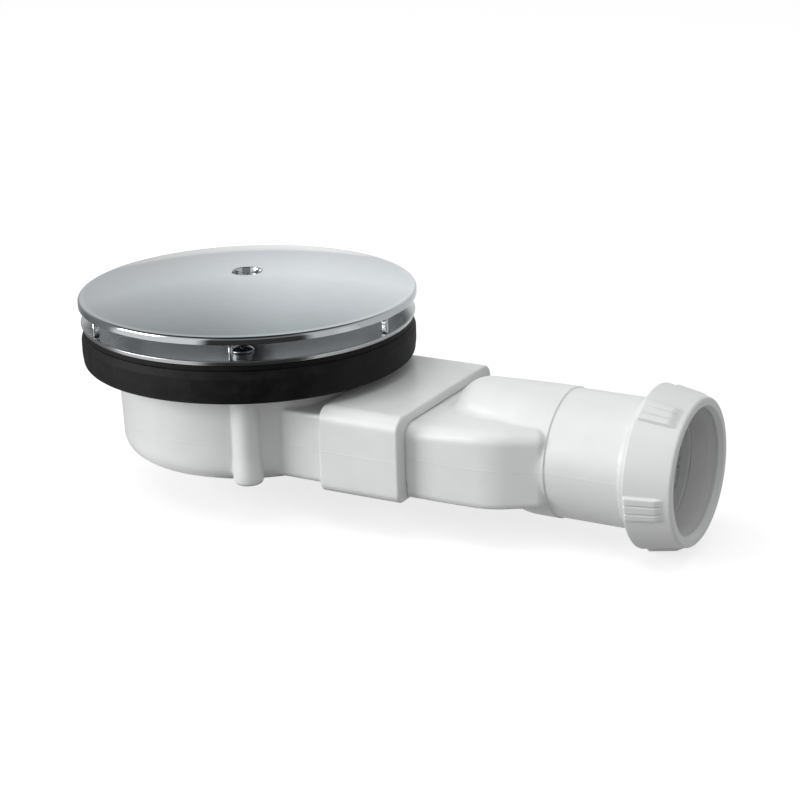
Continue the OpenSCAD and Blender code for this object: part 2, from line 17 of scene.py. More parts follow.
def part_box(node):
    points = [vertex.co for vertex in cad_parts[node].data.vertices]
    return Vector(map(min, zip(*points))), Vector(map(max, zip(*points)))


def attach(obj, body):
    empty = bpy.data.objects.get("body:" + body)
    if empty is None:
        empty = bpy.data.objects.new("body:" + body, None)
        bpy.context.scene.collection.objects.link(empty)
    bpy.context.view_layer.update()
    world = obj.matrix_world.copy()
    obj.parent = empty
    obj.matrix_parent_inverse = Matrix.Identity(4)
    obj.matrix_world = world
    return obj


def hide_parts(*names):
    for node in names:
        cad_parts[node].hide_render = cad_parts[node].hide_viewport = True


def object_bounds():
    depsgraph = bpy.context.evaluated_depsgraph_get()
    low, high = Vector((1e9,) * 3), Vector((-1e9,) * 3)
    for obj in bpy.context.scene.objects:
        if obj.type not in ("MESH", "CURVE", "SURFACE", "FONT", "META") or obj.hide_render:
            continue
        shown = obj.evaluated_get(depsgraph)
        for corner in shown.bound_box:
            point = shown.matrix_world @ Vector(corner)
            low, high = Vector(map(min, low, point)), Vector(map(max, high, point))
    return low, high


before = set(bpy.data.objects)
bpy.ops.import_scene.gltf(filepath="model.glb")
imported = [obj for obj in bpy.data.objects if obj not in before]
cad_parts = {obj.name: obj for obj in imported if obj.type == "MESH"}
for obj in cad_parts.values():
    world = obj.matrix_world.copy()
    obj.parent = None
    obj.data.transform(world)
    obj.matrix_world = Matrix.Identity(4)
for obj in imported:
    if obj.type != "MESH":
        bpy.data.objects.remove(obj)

MM = 0.001
cad_box = [list(corner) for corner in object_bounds()]
box = {name: [np.array(corner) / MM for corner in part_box(name)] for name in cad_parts}
print("solids:", len(box), "box in mm:", [[round(v / MM, 1) for v in c] for c in cad_box])

# %% [markdown]
# ## The camera
#
# The circles of the cover, the gasket and the nut, and the long edges of the outlet, fix where
# the photograph was taken from. A long lens far away keeps the outlet's edges nearly parallel.

# %% Set up the camera
azimuth, elevation, roll = math.radians(29.346), math.radians(18.735), math.radians(1.507)
camera_place = Vector((405.84, -617.84, 218.10)) * MM
camera_lens = 100.968

away = Vector((math.sin(azimuth) * math.cos(elevation),
               -math.cos(azimuth) * math.cos(elevation), math.sin(elevation)))
level = Vector((math.cos(azimuth), math.sin(azimuth), 0))
above = away.cross(level)
right = level * math.cos(roll) - above * math.sin(roll)
upward = level * math.sin(roll) + above * math.cos(roll)
camera = bpy.data.objects.new("camera", bpy.data.cameras.new("camera"))
camera.data.sensor_width = 36
camera.data.lens = camera_lens
camera.data.clip_start, camera.data.clip_end = 0.05, 20
camera.matrix_world = Matrix((right, upward, away)).transposed().to_4x4()
camera.location = camera_place
bpy.context.collection.objects.link(camera)
bpy.context.scene.camera = camera
print("camera at", [round(v, 3) for v in camera_place], "lens", camera_lens)

# %% [markdown]
# ## Nodes as expressions
#
# A finish is easier to read as a formula than as a row of nodes. This class wraps one socket, so
# that + - * / on it add the Math nodes. Its node() method makes any other node.

# %% A class for node expressions
class Wire:
    """One output socket of a node tree."""

    def __init__(self, tree, socket=None):
        self.tree, self.socket = tree, socket

    def node(self, kind, settings=None, out=0, inputs=None):
        made = self.tree.nodes.new(kind)
        for name, value in (settings or {}).items():
            if name == "stops":
                for spare in list(made.color_ramp.elements)[1:]:
                    made.color_ramp.elements.remove(spare)
                for at, colour in value:
                    stop = made.color_ramp.elements.new(at)
                    stop.color = (*colour, 1)
                made.color_ramp.elements.remove(made.color_ramp.elements[0])
            else:
                setattr(made, name, value)
        for key, value in (inputs or {}).items():
            if isinstance(value, Wire):
                self.tree.links.new(value.socket, made.inputs[key])
            else:
                made.inputs[key].default_value = value
        return Wire(self.tree, made.outputs[out])

    def maths(self, operation, *values):
        return self.node("ShaderNodeMath", {"operation": operation},
                         inputs=dict(enumerate(values)))

    def __add__(self, other): return self.maths("ADD", self, other)
    def __radd__(self, other): return self.maths("ADD", other, self)
    def __sub__(self, other): return self.maths("SUBTRACT", self, other)
    def __rsub__(self, other): return self.maths("SUBTRACT", other, self)
    def __mul__(self, other): return self.maths("MULTIPLY", self, other)
    def __rmul__(self, other): return self.maths("MULTIPLY", other, self)
    def __truediv__(self, other): return self.maths("DIVIDE", self, other)
    def __rtruediv__(self, other): return self.maths("DIVIDE", other, self)
    def __abs__(self): return self.maths("ABSOLUTE", self)

    def between(self, low, high):
        """0 below low, 1 above high, and a smooth step between them."""
        return self.node("ShaderNodeMapRange", {"interpolation_type": "SMOOTHSTEP"},
                         inputs={"Value": self, "From Min": low, "From Max": high})

    def mix(self, a, b):
        """Colour a where this value is 0, and b where it is 1."""
        return self.node("ShaderNodeMix", {"data_type": "RGBA"}, out=2,
                         inputs={0: self, 6: a if isinstance(a, Wire) else (*a, 1),
                                 7: b if isinstance(b, Wire) else (*b, 1)})


print("a wire has", len([name for name in vars(Wire) if name[:1] != "_"]), "methods of its own")


# %% Helpers for finishes
def start_finish(name):
    """A material with an empty tree, and the tree's wire."""
    material = bpy.data.materials.new(name)
    material.use_nodes = True
    material.node_tree.nodes.clear()
    return material, Wire(material.node_tree)


def end_finish(material, wire, shader):
    """Links the shader to the material's output."""
    out = material.node_tree.nodes.new("ShaderNodeOutputMaterial")
    material.node_tree.links.new(shader.socket, out.inputs["Surface"])
    print("finish:", material.name, len(material.node_tree.nodes), "nodes")
    return material


def place(wire):
    """The point on the piece, in metres from the drain's axis."""
    return wire.node("ShaderNodeTexCoord", out="Object")


def noise(wire, size, detail=2.0, rough=0.5):
    """Noise with spots of about this size in mm, from 0 to 1."""
    return wire.node("ShaderNodeTexNoise", inputs={
        "Vector": place(wire), "Scale": 1 / (size * MM), "Detail": detail, "Roughness": rough})


def bump(wire, height, distance):
    """A normal from a height of 0 to 1, where 1 stands out by this distance in mm."""
    return wire.node("ShaderNodeBump", inputs={
        "Height": height, "Distance": distance * MM, "Strength": 1.0})


print("object coordinates are in metres, so noise of 5 mm has the scale", 1 / (5 * MM))

# %% [markdown]
# ## White moulded plastic
#
# The pot, the outlet and the nut are polypropylene: a cool white with a satin gloss, a very fine
# skin from the spark-eroded mould, slow waves where a thick wall has sunk, and a hair line at
# half height where the two halves of the mould met.

# %% White plastic
def white_plastic(name, colour, gloss, parting=None):
    """The plastic, with the hair line at the height parting, in mm."""
    material, wire = start_finish(name)
    slow = noise(wire, 26, detail=1)
    skin = noise(wire, 0.45, detail=2)
    cloud = noise(wire, 9, detail=3)
    shade = tuple(c * 0.965 for c in colour)
    height = skin * 0.06 + slow * 0.9
    if parting is not None:
        upward_at = wire.node("ShaderNodeSeparateXYZ", out=2, inputs={0: place(wire)})
        ridge = 1 - abs(upward_at - parting * MM).between(0.05 * MM, 0.22 * MM)
        height = height + ridge * 0.35
    shader = wire.node("ShaderNodeBsdfPrincipled", inputs={
        "Base Color": cloud.between(0.3, 0.75).mix(colour, shade),
        "Roughness": gloss + cloud * 0.08,
        "IOR": 1.49,
        "Normal": bump(wire, height, 0.12),
    })
    return end_finish(material, wire, shader)


axis_z = (box["outlet_body"][0][2] + box["outlet_body"][1][2]) / 2
white = white_plastic("white_plastic", (0.70, 0.715, 0.705), 0.30, parting=axis_z)
nut_white = white_plastic("nut_plastic", (0.69, 0.705, 0.695), 0.34)
inner_white = white_plastic("inner_plastic", (0.74, 0.75, 0.74), 0.38)

# %% [markdown]
# ## Chrome
#
# The cover is polished and chromium plated. Plating is a mirror, so what it shows is the room:
# the finish only adds a blue-grey tint, a little haze and the faint waves of the buffed metal.

# %% Chrome, satin chrome, steel and brass
def bright_metal(name, colour, rough, haze):
    """Metal that is rougher by haze where it is smeared, with waves 0.02 mm high."""
    material, wire = start_finish(name)
    wave = noise(wire, 14, detail=1)
    smear = noise(wire, 5, detail=4, rough=0.6)
    shader = wire.node("ShaderNodeBsdfPrincipled", inputs={
        "Base Color": smear.between(0.2, 0.8).mix(colour, tuple(c * 0.97 for c in colour)),
        "Metallic": 1.0,
        "Roughness": rough + smear * haze,
        "Normal": bump(wire, wave, 0.02),
    })
    return end_finish(material, wire, shader)


chrome = bright_metal("cover_chrome", (0.60, 0.625, 0.64), 0.07, 0.05)
satin_chrome = bright_metal("flange_chrome", (0.50, 0.51, 0.52), 0.20, 0.06)
steel = bright_metal("screw_steel", (0.50, 0.50, 0.51), 0.18, 0.08)
brass = bright_metal("insert_brass", (0.78, 0.58, 0.28), 0.28, 0.1)

# %% [markdown]
# ## Rubber
#
# The gasket is black rubber from a rough mould: almost no colour, a broad soft sheen and fine
# pits. Its colour is mottled with lighter grey spots that are partly dust and partly painted
# sheen.

# %% Rubber
def black_rubber(name, dust_and_sheen):
    """Rubber whose lighter mottling is partly grey dust and partly painted sheen."""
    material, wire = start_finish(name)
    mottle = noise(wire, 5, detail=5, rough=0.62)
    pits = noise(wire, 0.6, detail=3, rough=0.6)
    shader = wire.node("ShaderNodeBsdfPrincipled", inputs={
        # The lighter mottle in the base colour is partly dust and partly painted sheen.
        "Base Color": mottle.between(0.35, 0.8).mix((0.003, 0.0035, 0.003), (dust_and_sheen, dust_and_sheen, dust_and_sheen)),
        "Roughness": 0.52 + mottle * 0.22,
        "Specular IOR Level": 0.2,
        "Normal": bump(wire, pits * 0.5 + mottle * 0.5, 0.16),
    })
    return end_finish(material, wire, shader)


# The second number is the grey of the lighter mottle, which is partly dust and partly painted
# sheen.
gasket_rubber = black_rubber("gasket_rubber", 0.012)
seal_rubber = black_rubber("seal_rubber", 0.008)

FINISH = {
    "cover": chrome, "cover_screw": steel, "strainer": inner_white, "flange": satin_chrome,
    "flange_screws": steel, "lip_washer": seal_rubber, "tray_gasket": gasket_rubber, "pot": white,
    "screw_inserts": brass, "dip_tube": inner_white, "dip_tube_seal": seal_rubber,
    "trap_cup": inner_white, "outlet_body": white, "spigot_seal": seal_rubber, "nut": nut_white,
    "slip_washer": inner_white, "cone_seal": inner_white,
}
for name, material in FINISH.items():
    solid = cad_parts[name]
    for slot in solid.material_slots:
        slot.material = material

# %% [markdown]
# ## Turned pieces by Geometry Nodes
#
# The cover, the flange, the gasket and the seals are all one outline swept round an axis. A tree
# with the outline as its input does that for every one of them: it lays out a grid, looks up the
# outline's point for each column and turns it to the row's angle. The same tree has lugs with
# grooves between their ridges as a rule on the angle, which is what the hand nut needs.

# %% Helpers for meshes
def mesh_piece(name, points, faces, material):
    """A smooth-shaded piece from points in mm."""
    mesh = bpy.data.meshes.new(name)
    mesh.from_pydata((np.asarray(points, float) * MM).tolist(), [], faces)
    mesh.polygons.foreach_set("use_smooth", [True] * len(mesh.polygons))
    piece = bpy.data.objects.new(name, mesh)
    bpy.context.collection.objects.link(piece)
    if material:
        mesh.materials.append(material)
    return piece


def signed_volume(mesh):
    """Volume in mm3, below 0 when the faces point inwards."""
    mesh.calc_loop_triangles()
    points = np.empty(len(mesh.vertices) * 3)
    mesh.vertices.foreach_get("co", points)
    corners = np.empty(len(mesh.loop_triangles) * 3, int)
    mesh.loop_triangles.foreach_get("vertices", corners)
    a, b, c = (points.reshape(-1, 3)[corners.reshape(-1, 3)[:, k]] / MM for k in range(3))
    return float(np.einsum("ij,ij->i", a, np.cross(b, c)).sum() / 6)


def settled(holder, name, material):
    """Turns what a piece's modifiers make into a plain mesh with its faces outwards."""
    graph = bpy.context.evaluated_depsgraph_get()
    mesh = bpy.data.meshes.new_from_object(holder.evaluated_get(graph))
    bpy.data.objects.remove(holder)
    if signed_volume(mesh) < 0:
        mesh.flip_normals()
    mesh.materials.clear()
    mesh.materials.append(material)
    mesh.polygons.foreach_set("material_index", [0] * len(mesh.polygons))
    mesh.polygons.foreach_set("use_smooth", [True] * len(mesh.polygons))
    mesh.name = name
    piece = bpy.data.objects.new(name, mesh)
    bpy.context.collection.objects.link(piece)
    return piece


def stand_for(piece, slot, *nodes):
    """Puts a finished piece in the place of solids."""
    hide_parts(*nodes)
    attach(piece, "root")
    print(f"{piece.name}: {len(piece.data.polygons)} faces, {signed_volume(piece.data):.0f} mm3")


# %% Softened outlines
def softened(corners, steps=6, rest=0.3):
    """An outline in mm from corners (across, along, rounding), with points close beside each
    rounding so that the flats next to it stay flat when they are shaded."""
    outline = []
    for k, (across, along, rounding) in enumerate(corners):
        here = np.array((across, along), float)
        if rounding <= 0:
            outline.append(here)
            continue
        before = np.array(corners[k - 1][:2]) - here
        after = np.array(corners[(k + 1) % len(corners)][:2]) - here
        a, b = before / np.linalg.norm(before), after / np.linalg.norm(after)
        half = math.acos(np.clip(a @ b, -1, 1)) / 2
        cut = rounding / math.tan(half)
        centre = here + (a + b) / np.linalg.norm(a + b) * rounding / math.sin(half)
        start = here + a * cut - centre
        turn = math.copysign(math.pi - 2 * half, b[0] * a[1] - b[1] * a[0])
        if np.linalg.norm(before) > 2 * (cut + rest):
            outline.append(here + a * (cut + rest))
        for t in np.linspace(0, turn, steps + 1):
            outline.append(centre + np.array((start[0] * math.cos(t) - start[1] * math.sin(t),
                                              start[0] * math.sin(t) + start[1] * math.cos(t))))
        if np.linalg.norm(after) > 2 * (cut + rest):
            outline.append(here + b * (cut + rest))
    return outline


tried = softened([(9, 0, 2), (9, 9, 0), (0, 9, 0), (0, 0, 0)])
print("a square with one corner of 2 mm has", len(tried), "points")


# %% The turning tree
def group_inputs(tree, sockets):
    """Adds named inputs and an output, and returns the wires of the inputs."""
    for name, kind, value in sockets:
        made = tree.interface.new_socket(name, in_out="INPUT", socket_type=kind)
        if value is not None:
            made.default_value = value
    tree.interface.new_socket("Geometry", in_out="OUTPUT", socket_type="NodeSocketGeometry")
    source = tree.nodes.new("NodeGroupInput")
    return {name: Wire(tree, source.outputs[name]) for name, _, _ in sockets}


def tree_output(tree, geometry, material):
    """Ends a tree in plain faces with a material."""
    wire = Wire(tree)
    smooth = wire.node("GeometryNodeSetShadeSmooth", inputs={"Geometry": geometry})
    real = wire.node("GeometryNodeRealizeInstances", inputs={"Geometry": smooth})
    painted = wire.node("GeometryNodeSetMaterial", inputs={"Geometry": real, "Material": material})
    sink = tree.nodes.new("NodeGroupOutput")
    tree.links.new(painted.socket, sink.inputs[0])


turning = bpy.data.node_groups.new("turning", "GeometryNodeTree")
given = group_inputs(turning, [
    ("Outline", "NodeSocketGeometry", None), ("Around", "NodeSocketInt", 192),
    ("Lugs", "NodeSocketFloat", 0.0), ("Lug Height", "NodeSocketFloat", 0.0),
    ("Lug Angle", "NodeSocketFloat", 0.0), ("First Lug", "NodeSocketFloat", 0.0),
    ("Groove At", "NodeSocketFloat", 0.0), ("Groove Width", "NodeSocketFloat", 0.0),
    ("Material", "NodeSocketMaterial", None)])
wire = Wire(turning)
count = wire.node("GeometryNodeAttributeDomainSize", inputs={"Geometry": given["Outline"]})
grid = wire.node("GeometryNodeMeshGrid", inputs={
    "Vertices X": given["Around"] + 1, "Vertices Y": count})
index = wire.node("GeometryNodeInputIndex")
row = wire.maths("FLOOR", (index + 0.5) / count)
column = index - row * count
at_column = {"data_type": "FLOAT_VECTOR", "domain": "POINT"}
point = wire.node("GeometryNodeSampleIndex", at_column, inputs={
    "Geometry": given["Outline"], "Value": wire.node("GeometryNodeInputPosition"),
    "Index": column})
angle = row / given["Around"] * (2 * math.pi)
across = wire.node("ShaderNodeSeparateXYZ", inputs={0: point})
raised = Wire(turning, across.socket.node.outputs[1])
along = Wire(turning, across.socket.node.outputs[2])
pitch = 2 * math.pi / wire.maths("MAXIMUM", given["Lugs"], 1)
turned_by = wire.maths("FLOORED_MODULO", angle - given["First Lug"] + pitch * 0.5, pitch)
off_centre = abs(turned_by - pitch * 0.5)
edge = given["Groove Width"]
flank = wire.node("ShaderNodeMapRange", {"interpolation_type": "SMOOTHSTEP"}, inputs={
    "Value": off_centre, "From Min": given["Lug Angle"] * 0.5 - edge * 2,
    "From Max": given["Lug Angle"] * 0.5, "To Min": 1, "To Max": 0})
groove = wire.node("ShaderNodeMapRange", {"interpolation_type": "SMOOTHSTEP"}, inputs={
    "Value": abs(off_centre - given["Groove At"]), "From Min": edge * 0.2, "From Max": edge,
    "To Min": 0.45, "To Max": 1})
radius = across + raised * given["Lug Height"] * flank * groove
position = wire.node("ShaderNodeCombineXYZ", inputs={
    0: radius * wire.maths("COSINE", angle), 1: radius * wire.maths("SINE", angle), 2: along})
swept = wire.node("GeometryNodeSetPosition", inputs={"Geometry": grid, "Position": position})
closed = wire.node("GeometryNodeMergeByDistance", inputs={"Geometry": swept, "Distance": 2e-6})
tree_output(turning, closed, given["Material"])
print("turning tree:", len(turning.nodes), "nodes")


# %% A piece from the turning tree
to_outlet = Matrix(((0, 0, 1, 0), (1, 0, 0, 0), (0, 1, 0, axis_z * MM), (0, 0, 0, 1)))


def run_tree(holder, tree, values):
    """Gives a piece the tree, with its inputs set before it is first evaluated."""
    modifier = holder.modifiers.new(tree.name, "NODES")
    modifier.node_group = tree
    for socket in tree.interface.items_tree:
        if socket.in_out == "INPUT" and socket.name in values:
            modifier[socket.identifier] = values[socket.name]


def turned(name, outline, material, around=192, place_by=None, raised=None, **lugs):
    """Turns a closed outline of (radius, height) in mm. Raised gives, per point, how much of a
    lug it carries."""
    raised = raised or [0] * len(outline)
    outline = [tuple(p) for p in outline] + [tuple(outline[0])]
    carried = raised + raised[:1]
    points = [(r, lift / MM, z) for (r, z), lift in zip(outline, carried)]
    holder = mesh_piece(name + "_outline", points, [], None)
    run_tree(holder, turning, {"Around": around, "Material": material, **lugs})
    bpy.context.view_layer.update()
    piece = settled(holder, name, material)
    if place_by:
        piece.data.transform(place_by)
    return piece


print("the outlet's axis is", round(-axis_z, 2), "mm below the flange lip")

# %% The spreading tree
spreading = bpy.data.node_groups.new("spreading", "GeometryNodeTree")
given = group_inputs(spreading, [
    ("Piece", "NodeSocketGeometry", None), ("Count", "NodeSocketInt", 3),
    ("Radius", "NodeSocketFloat", 0.05), ("First", "NodeSocketFloat", 0.0),
    ("Material", "NodeSocketMaterial", None)])
wire = Wire(spreading)
index = wire.node("GeometryNodeInputIndex")
angle = given["First"] + index / given["Count"] * (2 * math.pi)
ring = wire.node("GeometryNodePoints", inputs={
    "Count": given["Count"],
    "Position": wire.node("ShaderNodeCombineXYZ", inputs={
        0: given["Radius"] * wire.maths("COSINE", angle),
        1: given["Radius"] * wire.maths("SINE", angle)})})
turned_piece = wire.node("GeometryNodeInstanceOnPoints", inputs={
    "Points": ring, "Instance": given["Piece"],
    "Rotation": wire.node("ShaderNodeCombineXYZ", inputs={2: angle})})
tree_output(spreading, turned_piece, given["Material"])
print("spreading tree:", len(spreading.nodes), "nodes")


# %% Copies, cuts and bars
def spread(holder, name, material, count, radius, first):
    """Copies a piece round the drain's axis, from the angle first in degrees."""
    run_tree(holder, spreading, {"Count": count, "Radius": radius * MM,
                                 "First": math.radians(first), "Material": material})
    bpy.context.view_layer.update()
    return settled(holder, name, material)


def cut_by(piece, tool, name, material):
    """What is left of a piece outside a tool."""
    modifier = piece.modifiers.new("cut", "BOOLEAN")
    modifier.operation, modifier.solver, modifier.object = "DIFFERENCE", "EXACT", tool
    bpy.context.view_layer.update()
    made = settled(piece, name, material)
    bpy.data.objects.remove(tool)
    return made


def bar(name, width, depth, low, high, rounding, material, steps=4):
    """An upright bar with rounded sides and a rounded foot, in mm."""
    corner = [(width / 2, -depth / 2, rounding), (width / 2, depth / 2, rounding),
              (-width / 2, depth / 2, rounding), (-width / 2, -depth / 2, rounding)]
    loop = softened(corner, steps=steps)
    points, faces = [], []
    levels = [(low + rounding * (1 - math.sin(t)), rounding * (1 - math.cos(t)))
              for t in np.linspace(math.pi / 2, 0, steps + 1)]
    for z, inset in levels + [(high, 0)]:
        scale = np.array(((width - 2 * inset) / width, (depth - 2 * inset) / depth))
        points += [(*(p * scale), z) for p in loop]
    n = len(loop)
    for level in range(len(points) // n - 1):
        faces += [(level * n + k, level * n + (k + 1) % n, (level + 1) * n + (k + 1) % n,
                   (level + 1) * n + k) for k in range(n)]
    faces += [tuple(range(n))[::-1], tuple(range(len(points) - n, len(points)))]
    return mesh_piece(name, points, faces, material)


print("trees:", [tree.name for tree in bpy.data.node_groups])

# %% [markdown]
# ## The cover
#
# A pressed dome with a turned-down rim, a dimple for its screw and six small legs that keep the
# inlet gap open. The dome is shallow, so it has to be truly smooth: any facet would show in the
# reflection. It is turned from arcs, and the legs are one bar repeated round the rim.

# %% Cover and legs
cover_r, apex_z = box["cover"][1][0], box["cover"][1][2]
flange_top = box["flange"][1][2]
leg_h, rim_h, dome_rise, cover_wall = 5.6, 2.6, 6.1, 2.0
rim_foot = flange_top + leg_h
shoulder_r = cover_r - 1
dome_r = (shoulder_r ** 2 + dome_rise ** 2) / (2 * dome_rise)
dome_edge = math.asin(shoulder_r / dome_r)
dimple_r, dimple_floor = 5.15, apex_z - 2.6
screw_hole_r = 2.05


def dome(radii, wall=0.0):
    """Points of the dome, or of its underside."""
    reach = dome_r - wall
    return [(r, apex_z - dome_r + math.sqrt(reach ** 2 - r ** 2), 0) for r in radii]


rim_edge = [(shoulder_r + math.cos(t), rim_foot + rim_h - 1 + math.sin(t), 0)
            for t in np.linspace(math.pi / 2 - dome_edge, 0, 9)]
cover_outline = softened(
    [(screw_hole_r, dimple_floor, 0), (dimple_r - 0.6, dimple_floor, 0.5),
     (dimple_r, apex_z - 0.04, 0.42)]
    + dome(np.linspace(dimple_r + 0.6, shoulder_r - 0.2, 40)) + rim_edge
    + [(cover_r, rim_foot + 1.2, 0), (cover_r, rim_foot, 0.25),
       (cover_r - cover_wall, rim_foot, 0.25)]
    + dome(np.linspace(cover_r - cover_wall, dimple_r + cover_wall, 20), cover_wall)
    + [(dimple_r + cover_wall, dimple_floor - cover_wall, 0.4),
       (screw_hole_r, dimple_floor - cover_wall, 0)])
cover_dome = turned("cover_dome", cover_outline, chrome, around=360)
stand_for(cover_dome, "cover_chrome", "cover")

leg_depth, leg_w = 2.2, 1.3
leg = bar("leg", leg_depth, leg_w, flange_top, rim_foot + 1.4, 0.4, chrome)
cover_legs = spread(leg, "cover_legs", chrome, 6, cover_r - cover_wall - 0.4, -3.3)
stand_for(cover_legs, "cover_chrome", "cover")

# %% [markdown]
# ## The screws
#
# One cross-headed screw holds the cover to its strainer, and three clamp the flange to the pot.
# A turned blank gets its cross from two crossed bars, as a punch would press it, and the three
# are the same screw repeated.

# %% Screws
BLOCK_FACES = ((0, 3, 2, 1), (4, 5, 6, 7), (0, 1, 5, 4), (1, 2, 6, 5), (2, 3, 7, 6), (3, 0, 4, 7))


def screw(name, head_r, head_h, shank_r, top, length, cross, turn=0.0):
    """A pan-headed screw whose head stands on the level top. The cross is given by half its
    length and width as shares of the head's radius, and by its depth."""
    cross_l, cross_w, cross_deep = cross
    cap = 2 * head_r
    crown = [(r, top + head_h - cap + math.sqrt(cap ** 2 - r ** 2), 0)
             for r in np.linspace(0, head_r - 0.35, 8)]
    outline = softened(crown + [
        (head_r, top + head_h - cap + math.sqrt(cap ** 2 - head_r ** 2) - 0.1, 0.3),
        (head_r, top, 0.12), (shank_r, top, 0), (shank_r, top - length, 0.5),
        (0, top - length, 0)], steps=4)
    blank = turned(name, outline, steel, around=72)
    for quarter in (0, 90):
        t = math.radians(quarter + turn)
        wide = np.array((math.cos(t), math.sin(t))) * head_r * cross_l
        thin = np.array((-math.sin(t), math.cos(t))) * head_r * cross_w
        punch = [(*(wide * a * share + thin * b), z)
                 for z, share in ((top + head_h - cross_deep, 0.55), (top + head_h + 1, 1.25))
                 for a, b in ((1, 1), (-1, 1), (-1, -1), (1, -1))]
        blank = cut_by(blank, mesh_piece("punch", punch, BLOCK_FACES, steel), name, steel)
    return blank


cover_screw = screw("cover_screw_head", 2.7, 1.5, 1.75, dimple_floor, 14, (0.64, 0.13, 0.9), 20)
stand_for(cover_screw, "screw_steel", "cover_screw")

screw_circle_r, first_screw, screw_gap_r = 45.4, 60, 2.8
one_screw = screw("clamp_screw", 3.8, 1.7, 2.5, flange_top, 42, (0.5, 0.13, 0.8))
clamp_screws = spread(one_screw, "clamp_screws", steel, 3, screw_circle_r, first_screw)
stand_for(clamp_screws, "screw_steel", "flange_screws")

# %% [markdown]
# ## Flange, washer and gasket
#
# The flange clamps the tray between itself and the rubber. All three are rings with three screw
# holes, so one tool made of three rods drills each of them.

# %% Rings under the cover
flange_r = box["flange"][1][0]
throat_r, throat_outer_r, gasket_bore_r = 37.0, 38.8, 40.5
ledge_r = throat_r - 2.5
throat_foot = box["flange"][0][2]


def drilled(piece, name, material):
    """The piece with the three screw holes."""
    outline = [(screw_gap_r, -60), (screw_gap_r, 10), (0, 10), (0, -60)]
    rod = turned("rod", outline, material, around=48)
    rods = spread(rod, "rods", material, 3, screw_circle_r, first_screw)
    return cut_by(piece, rods, name, material)


flange_outline = softened([
    (throat_r, flange_top, 0.6), (flange_r, flange_top, 0.3), (flange_r - 0.6, 0, 0.25),
    (throat_outer_r, 0, 0.3), (throat_outer_r, throat_foot, 0.25), (ledge_r, throat_foot, 0.2),
    (ledge_r, throat_foot + 1.6, 0.2), (throat_r, throat_foot + 1.6, 0.2)])
flange_ring = drilled(turned("flange_ring", flange_outline, satin_chrome, around=288),
                      "flange_ring", satin_chrome)
stand_for(flange_ring, "flange_chrome", "flange")

washer_low, washer_high = box["lip_washer"]
washer_outline = softened([
    (gasket_bore_r, washer_low[2], 0.2), (gasket_bore_r, washer_high[2], 0.2),
    (washer_high[0], washer_high[2], 0.35), (washer_high[0], washer_low[2], 0.35)])
lip_washer = drilled(turned("lip_washer_ring", washer_outline, seal_rubber, around=240),
                     "lip_washer_ring", seal_rubber)
stand_for(lip_washer, "seal_rubber", "lip_washer")

gasket_low, gasket_high = box["tray_gasket"]
gasket_r, gasket_foot, gasket_top = gasket_high[0], gasket_low[2], gasket_high[2]
rim_r, rim_top, rim_foot_z, grip_r = 53.55, gasket_top - 4.6, gasket_top - 8.1, 50.0
gasket_outline = softened([
    (gasket_bore_r, gasket_top, 0.3), (gasket_r - 0.9, gasket_top, 0.5),
    (gasket_r, gasket_top - 2.5, 1.4), (gasket_r, gasket_foot + 4.4, 1.4),
    (gasket_r - 0.5, gasket_foot, 1.8), (grip_r, gasket_foot, 0.4), (grip_r, rim_foot_z, 0.2),
    (rim_r, rim_foot_z, 0), (rim_r, rim_top, 0), (gasket_bore_r, rim_top, 0.3)], steps=8)
tray_gasket = drilled(turned("tray_gasket_ring", gasket_outline, gasket_rubber, around=288),
                      "tray_gasket_ring", gasket_rubber)
stand_for(tray_gasket, "gasket_rubber", "tray_gasket")

# %% [markdown]
# ## The white mouldings as distance fields
#
# The pot and the outlet are boxes, cones and balls that melt into each other with fillets of
# different sizes. Bevels fail where a round boss leaves a leaning wall, so each moulding is
# written as a distance: below 0 inside the plastic, above 0 outside, in mm. Two forms join with
# a fillet by one formula, a wall is the form less the same form moved in, and the surface is
# found on a grid whose lines stand closer where there is a step or an edge.

# %% Fields and their joins
def join(a, b, fillet=0.0):
    """Both forms, with a fillet between them."""
    if np.ndim(fillet) == 0 and fillet == 0:
        return np.minimum(a, b)
    inner = np.hypot(np.maximum(fillet - a, 0), np.maximum(fillet - b, 0))
    return np.maximum(fillet, np.minimum(a, b)) - inner


def common(a, b, rounding=0.0):
    """What lies in both forms, with the edge between them rounded."""
    return -join(-a, -b, rounding)


def less(a, b, rounding=0.0):
    """What lies in a and not in b."""
    return common(a, -b, rounding)


def eased(a, b, zone):
    """What lies in both forms where they meet at a flat angle, with a long soft bend."""
    return np.maximum(a, b) + np.maximum(zone - np.abs(a - b), 0) ** 2 / (4 * zone)


def round_box(across, up, half_w, foot, top, foot_r, top_r):
    """A flat box seen along the outlet, with other roundings at its foot than at its top."""
    middle_up, half_h = (top - foot) / 2, (top + foot) / 2
    corner = np.where(up > middle_up, top_r, foot_r)
    side = np.abs(across) - half_w + corner
    rise = np.abs(up - middle_up) - half_h + corner
    return (np.minimum(np.maximum(side, rise), 0)
            + np.hypot(np.maximum(side, 0), np.maximum(rise, 0)) - corner)


def reach(x, start, end):
    """A slab between two planes."""
    return np.abs(x - (start + end) / 2) - (end - start) / 2


print("1 mm off two square walls, a fillet of 2 mm is", round(join(1.0, 1.0, 2.0), 2), "mm away")


# %% Finding the surface
GRID_OFFSET = 0.0137  # keeps flat faces off the grid's lines, where they would flicker


def grid_lines(*spans):
    """Grid lines in mm from spans (start, end, step) that follow each other."""
    lines = [spans[0][0]]
    for start, end, step in spans:
        count = max(1, round((end - start) / step))
        lines += list(start + (end - start) * np.arange(1, count + 1) / count)
    return np.array(lines) + GRID_OFFSET


